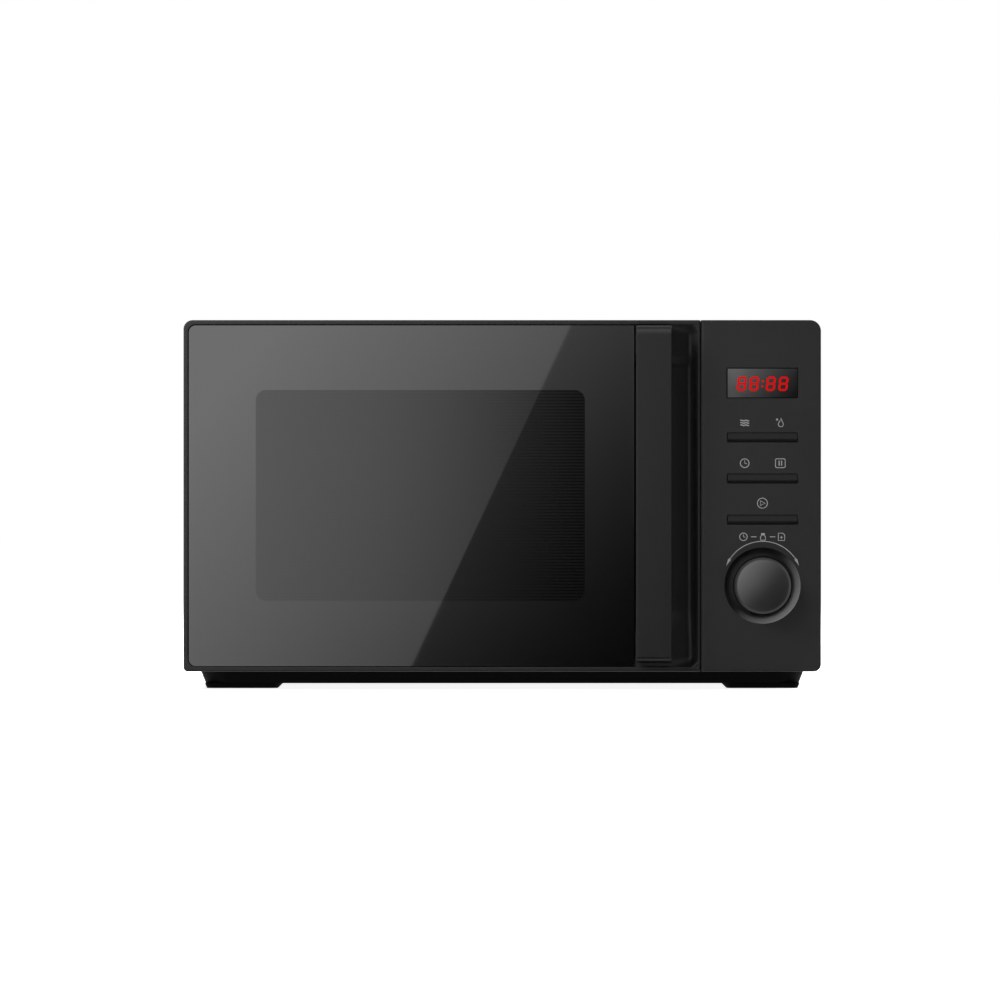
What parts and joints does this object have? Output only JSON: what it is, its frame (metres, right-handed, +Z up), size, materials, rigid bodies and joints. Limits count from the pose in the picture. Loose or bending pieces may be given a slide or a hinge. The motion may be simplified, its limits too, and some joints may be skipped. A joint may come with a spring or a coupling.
{
  "type": "microwave oven",
  "caption": "Countertop microwave oven with a side-hinged black glass door, bar handle, key bars, display and rotary knob over a glass turntable.",
  "frame": {"origin": "on the resting plane, under the middle of the oven's box", "axes": "+X right across the front, +Y to the rear, +Z up"},
  "size_m": [0.44, 0.35, 0.2555],
  "materials": {
    "case_black": "satin black powder coat",
    "pan_black": "black enamel",
    "foot_rubber": "matte black rubber",
    "zinc_steel": "zinc-plated sheet steel",
    "spacer_plastic": "black moulded plastic",
    "screw_steel": "plated steel screws",
    "cavity_enamel": "grey cavity enamel",
    "front_plate_black": "black enamelled front plate",
    "mica": "pressed mica sheet",
    "lamp_glass": "frosted lamp bulb",
    "front_plastic": "satin black moulding",
    "panel_plastic": "satin black moulding",
    "door_glass": "smoked black glass",
    "screen_black": "black enamelled perforated steel",
    "pane_clear": "clear inner pane",
    "cover_plastic": "black choke cover",
    "handle_plastic": "satin black bar handle",
    "latch_plastic": "natural acetal",
    "spring_steel": "spring wire",
    "board_plastic": "cream moulding",
    "switch_plastic": "switch case",
    "plunger_red": "red plunger",
    "laminated_steel": "varnished laminations",
    "copper": "enamelled winding wire",
    "can_aluminium": "drawn can",
    "diode_black": "moulded body",
    "cutout_ceramic": "thermal cut-out body",
    "circuit_green": "green circuit board",
    "shroud_plastic": "grey shroud moulding",
    "fan_plastic": "grey fan moulding",
    "turntable_glass": "clear pressed glass",
    "ring_plastic": "white heat-proof plastic",
    "lens_plastic": "smoked red display window",
    "module_black": "display block",
    "knob_plastic": "satin black knob",
    "key_plastic": "satin black keys"
  },
  "bodies": {
    "oven": {"outer_cabinet": "case_black", "base_pan": "pan_black", "front_feet": "foot_rubber", "rear_feet": "foot_rubber", "rear_panel": "zinc_steel", "wall_spacers": "spacer_plastic", "case_screws": "screw_steel", "cavity_liner": "cavity_enamel", "front_plate": "front_plate_black", "waveguide": "zinc_steel", "waveguide_cover": "mica", "oven_lamp": "lamp_glass", "lamp_holder": "zinc_steel", "upper_hinge": "zinc_steel", "lower_hinge": "zinc_steel", "latch_board": "board_plastic", "microswitches": "switch_plastic", "magnetron_yoke": "zinc_steel", "magnetron_core": "can_aluminium", "transformer_core": "laminated_steel", "transformer_windings": "copper", "hv_capacitor": "can_aluminium", "capacitor_clamp": "zinc_steel", "hv_diode": "diode_black", "thermal_cutouts": "cutout_ceramic", "line_filter_board": "circuit_green", "cord_gland": "spacer_plastic", "fan_motor": "laminated_steel", "fan_shroud": "shroud_plastic", "turntable_motor_unit": "zinc_steel", "control_panel": "panel_plastic", "display_lens": "lens_plastic", "display_module": "module_black", "control_board": "circuit_green", "encoder_body": "zinc_steel", "panel_screws": "screw_steel"},
    "door": {"door_frame": "front_plastic", "door_glass": "door_glass", "door_screen": "screen_black", "inner_window": "pane_clear", "door_inner_cover": "cover_plastic", "door_handle": "handle_plastic", "handle_screws": "screw_steel", "hook_spring": "spring_steel"},
    "latch": {"latch_hook": "latch_plastic"},
    "plungers": {"switch_plungers": "plunger_red"},
    "fan": {"fan_blade": "fan_plastic"},
    "turntable": {"turntable_coupler": "ring_plastic", "glass_turntable": "turntable_glass"},
    "ring": {"roller_ring": "ring_plastic"},
    "wheel_1": {"roller_1": "ring_plastic"},
    "wheel_2": {"roller_2": "ring_plastic"},
    "wheel_3": {"roller_3": "ring_plastic"},
    "knob": {"control_knob": "knob_plastic", "encoder_shaft": "screw_steel"},
    "key_upper": {"upper_key": "key_plastic"},
    "key_middle": {"middle_key": "key_plastic"},
    "key_start": {"start_key": "key_plastic"}
  },
  "joints": [
    {"name": "door_hinge", "type": "hinge", "parent": "oven", "child": "door", "pos_m": [-0.212, -0.1395, 0.1342], "axis": [0, 0, -1], "range_deg": [0, 110]},
    {"name": "hook_slide", "type": "slide", "parent": "door", "child": "latch", "axis": [0, 0, 1], "range_m": [0, 0.004], "stiffness_N_per_m": 400, "springref_m": -0.008, "deforming": ["hook_spring"]},
    {"name": "switch_press", "type": "slide", "parent": "oven", "child": "plungers", "axis": [0, 1, 0], "range_m": [0, 0.0012], "stiffness_N_per_m": 400, "springref_m": -0.002},
    {"name": "fan_spin", "type": "hinge", "parent": "oven", "child": "fan", "pos_m": [0.1528, 0.15, 0.1009], "axis": [0, 1, 0], "continuous": true},
    {"name": "turntable_spin", "type": "hinge", "parent": "oven", "child": "turntable", "pos_m": [-0.054, 0.01855, 0.0499], "axis": [0, 0, 1], "continuous": true},
    {"name": "ring_spin", "type": "hinge", "parent": "oven", "child": "ring", "pos_m": [-0.054, 0.01855, 0.0424], "axis": [0, 0, 1], "continuous": true},
    {"name": "wheel_1_spin", "type": "hinge", "parent": "ring", "child": "wheel_1", "pos_m": [0.02914, 0.06655, 0.0424], "axis": [0.866, 0.5, 0], "continuous": true},
    {"name": "wheel_2_spin", "type": "hinge", "parent": "ring", "child": "wheel_2", "pos_m": [-0.13714, 0.06655, 0.0424], "axis": [-0.866, 0.5, 0], "continuous": true},
    {"name": "wheel_3_spin", "type": "hinge", "parent": "ring", "child": "wheel_3", "pos_m": [-0.054, -0.07745, 0.0424], "axis": [0, -1, 0], "continuous": true},
    {"name": "knob_turn", "type": "hinge", "parent": "oven", "child": "knob", "pos_m": [0.1796, -0.163, 0.0722], "axis": [0, 1, 0], "continuous": true},
    {"name": "upper_key_rock", "type": "hinge", "parent": "oven", "child": "key_upper", "pos_m": [0.1796, -0.158, 0.1748], "axis": [0, 0, 1], "range_deg": [-2.5, 2.5], "stiffness_Nm_per_rad": 0.5},
    {"name": "middle_key_rock", "type": "hinge", "parent": "oven", "child": "key_middle", "pos_m": [0.1796, -0.158, 0.1464], "axis": [0, 0, 1], "range_deg": [-2.5, 2.5], "stiffness_Nm_per_rad": 0.5},
    {"name": "start_key_press", "type": "slide", "parent": "oven", "child": "key_start", "axis": [0, 1, 0], "range_m": [0, 0.001], "stiffness_N_per_m": 600, "springref_m": -0.0005}
  ],
  "couplings": [
    {"joint": "ring_spin", "follows": "turntable_spin", "ratio": 0.5},
    {"joint": "wheel_1_spin", "follows": "turntable_spin", "ratio": -6.6667},
    {"joint": "wheel_2_spin", "follows": "turntable_spin", "ratio": -6.6667},
    {"joint": "wheel_3_spin", "follows": "turntable_spin", "ratio": -6.6667}
  ]
}
